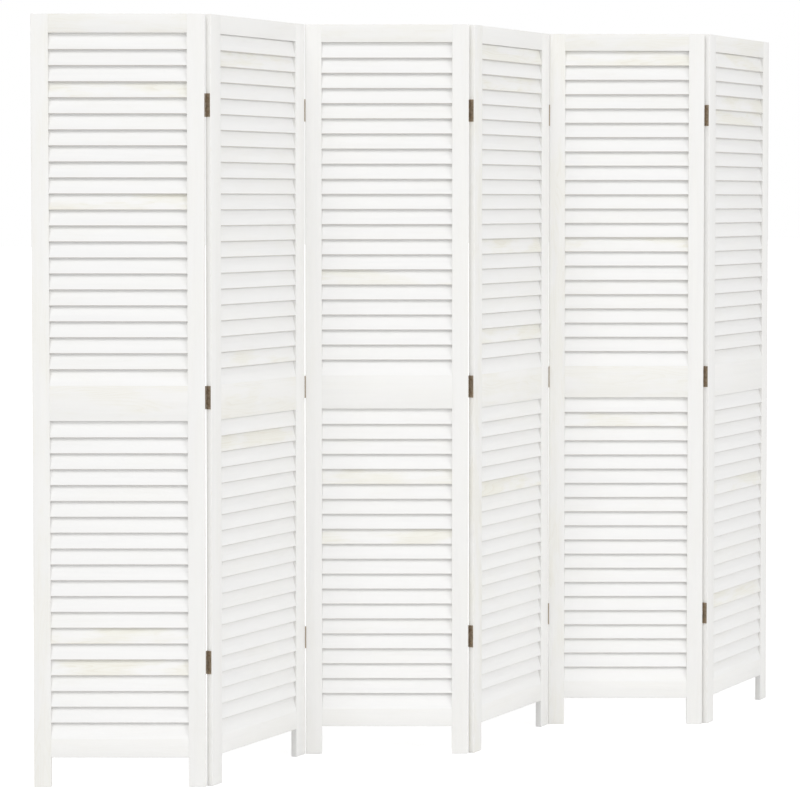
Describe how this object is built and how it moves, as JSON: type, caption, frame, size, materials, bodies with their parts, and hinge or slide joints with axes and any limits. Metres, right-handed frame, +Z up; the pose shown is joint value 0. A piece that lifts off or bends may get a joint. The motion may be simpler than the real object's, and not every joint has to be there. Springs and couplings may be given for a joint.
{
  "type": "folding room divider screen",
  "caption": "Folding louvred wooden room divider that stands in a zigzag, with painted slats in framed panels joined by small butt hinges.",
  "frame": {"origin": "middle of the screen's footprint on the floor, with every panel standing on its stiles", "axes": "+X along the whole screen from panel 1 to panel 6, +Y towards its back, +Z up; the slats' lower edges face -Y"},
  "size_m": [1.9652, 0.193, 1.65],
  "materials": {
    "frame_paint": "white paint, satin, over wood grain that shows faintly",
    "slat_paint": "white paint, satin, over wood grain that shows faintly",
    "hinge_bronze": "antique bronze plate, slightly worn"
  },
  "bodies": {
    "panel_1": {"hinge_1_2_bottom_pin_leaf": "hinge_bronze", "hinge_1_2_middle_pin_leaf": "hinge_bronze", "hinge_1_2_top_pin_leaf": "hinge_bronze", "panel_1_bottom_rail": "frame_paint", "panel_1_left_stile": "frame_paint", "panel_1_right_stile": "frame_paint", "panel_1_slats_and_middle_rail": "slat_paint", "panel_1_top_rail": "frame_paint"},
    "panel_2": {"hinge_1_2_bottom_plain_leaf": "hinge_bronze", "hinge_1_2_middle_plain_leaf": "hinge_bronze", "hinge_1_2_top_plain_leaf": "hinge_bronze", "hinge_2_3_bottom_pin_leaf": "hinge_bronze", "hinge_2_3_middle_pin_leaf": "hinge_bronze", "hinge_2_3_top_pin_leaf": "hinge_bronze", "panel_2_bottom_rail": "frame_paint", "panel_2_left_stile": "frame_paint", "panel_2_right_stile": "frame_paint", "panel_2_slats_and_middle_rail": "slat_paint", "panel_2_top_rail": "frame_paint"},
    "panel_3": {"hinge_2_3_bottom_plain_leaf": "hinge_bronze", "hinge_2_3_middle_plain_leaf": "hinge_bronze", "hinge_2_3_top_plain_leaf": "hinge_bronze", "hinge_3_4_bottom_pin_leaf": "hinge_bronze", "hinge_3_4_middle_pin_leaf": "hinge_bronze", "hinge_3_4_top_pin_leaf": "hinge_bronze", "panel_3_bottom_rail": "frame_paint", "panel_3_left_stile": "frame_paint", "panel_3_right_stile": "frame_paint", "panel_3_slats_and_middle_rail": "slat_paint", "panel_3_top_rail": "frame_paint"},
    "panel_4": {"hinge_3_4_bottom_plain_leaf": "hinge_bronze", "hinge_3_4_middle_plain_leaf": "hinge_bronze", "hinge_3_4_top_plain_leaf": "hinge_bronze", "hinge_4_5_bottom_pin_leaf": "hinge_bronze", "hinge_4_5_middle_pin_leaf": "hinge_bronze", "hinge_4_5_top_pin_leaf": "hinge_bronze", "panel_4_bottom_rail": "frame_paint", "panel_4_left_stile": "frame_paint", "panel_4_right_stile": "frame_paint", "panel_4_slats_and_middle_rail": "slat_paint", "panel_4_top_rail": "frame_paint"},
    "panel_5": {"hinge_4_5_bottom_plain_leaf": "hinge_bronze", "hinge_4_5_middle_plain_leaf": "hinge_bronze", "hinge_4_5_top_plain_leaf": "hinge_bronze", "hinge_5_6_bottom_pin_leaf": "hinge_bronze", "hinge_5_6_middle_pin_leaf": "hinge_bronze", "hinge_5_6_top_pin_leaf": "hinge_bronze", "panel_5_bottom_rail": "frame_paint", "panel_5_left_stile": "frame_paint", "panel_5_right_stile": "frame_paint", "panel_5_slats_and_middle_rail": "slat_paint", "panel_5_top_rail": "frame_paint"},
    "panel_6": {"hinge_5_6_bottom_plain_leaf": "hinge_bronze", "hinge_5_6_middle_plain_leaf": "hinge_bronze", "hinge_5_6_top_plain_leaf": "hinge_bronze", "panel_6_bottom_rail": "frame_paint", "panel_6_left_stile": "frame_paint", "panel_6_right_stile": "frame_paint", "panel_6_slats_and_middle_rail": "slat_paint", "panel_6_top_rail": "frame_paint"}
  },
  "joints": [
    {"name": "fold_1_2", "type": "hinge", "parent": "panel_1", "child": "panel_2", "pos_m": [-0.65581, -0.08472, 0.834], "axis": [0, 0, 1], "range_deg": [-59.25, 120.75]},
    {"name": "fold_2_3", "type": "hinge", "parent": "panel_2", "child": "panel_3", "pos_m": [-0.32791, 0.08472, 0.834], "axis": [0, 0, -1], "range_deg": [-59.25, 120.75]},
    {"name": "fold_3_4", "type": "hinge", "parent": "panel_3", "child": "panel_4", "pos_m": [0, -0.08472, 0.834], "axis": [0, 0, 1], "range_deg": [-59.25, 120.75]},
    {"name": "fold_4_5", "type": "hinge", "parent": "panel_4", "child": "panel_5", "pos_m": [0.32791, 0.08472, 0.834], "axis": [0, 0, -1], "range_deg": [-59.25, 120.75]},
    {"name": "fold_5_6", "type": "hinge", "parent": "panel_5", "child": "panel_6", "pos_m": [0.65581, -0.08472, 0.834], "axis": [0, 0, 1], "range_deg": [-59.25, 120.75]}
  ]
}
